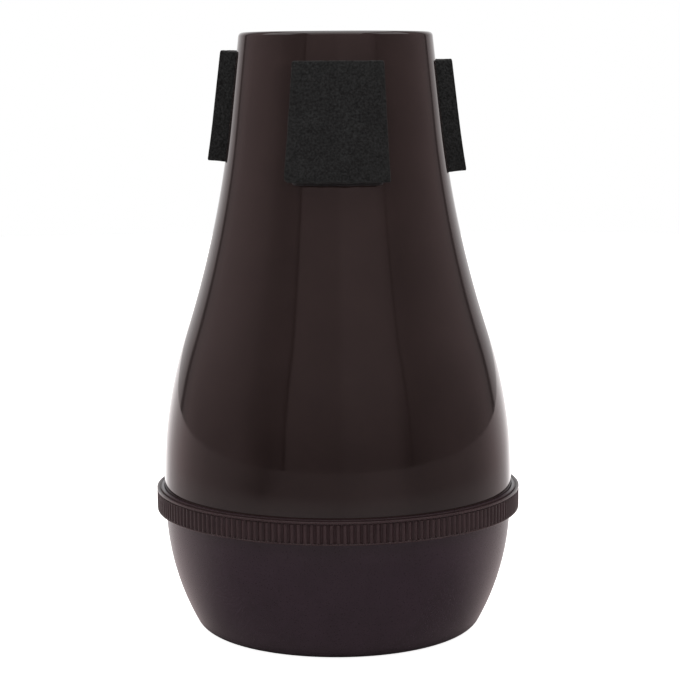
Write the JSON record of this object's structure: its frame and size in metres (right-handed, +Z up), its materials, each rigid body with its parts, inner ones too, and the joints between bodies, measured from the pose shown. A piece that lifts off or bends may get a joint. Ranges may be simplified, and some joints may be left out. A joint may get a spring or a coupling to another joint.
{
  "type": "trombone straight mute",
  "caption": "Hollow cone mute for a trombone bell, with foam grip pads, an open throat and a screw-on end cup under a ribbed grip band.",
  "frame": {"origin": "centre of the flat base, on the mute's axis, where it stands on a table", "axes": "+Z up the axis from the cup's base to the open throat; -Y out of the front foam pad; +X to the right seen from the front"},
  "size_m": [0.108, 0.108, 0.176],
  "materials": {
    "gloss_abs": "gloss",
    "satin_abs": "satin",
    "ribbed_abs": "satin",
    "washer_rubber": "matte",
    "pad_foam": "matte",
    "adhesive_film": "satin"
  },
  "bodies": {
    "cup": {"end_cup": "satin_abs", "knurled_ring": "ribbed_abs"},
    "washer": {"sealing_washer": "washer_rubber"},
    "cone": {"neck_cone": "gloss_abs", "pad_front": "pad_foam", "pad_left": "pad_foam", "pad_right": "pad_foam", "pad_adhesive_front": "adhesive_film", "pad_adhesive_left": "adhesive_film", "pad_adhesive_right": "adhesive_film"}
  },
  "joints": [
    {"name": "cone_lift", "type": "slide", "parent": "cup", "child": "washer", "axis": [0, 0, 1], "range_m": [0, 0.00601]},
    {"name": "cone_turn", "type": "hinge", "parent": "washer", "child": "cone", "pos_m": [0, 0, 0.0411], "axis": [0, 0, 1], "range_deg": [0, 540]}
  ],
  "couplings": [
    {"joint": "cone_lift", "follows": "cone_turn", "m_per_rad": 0.00063662}
  ]
}
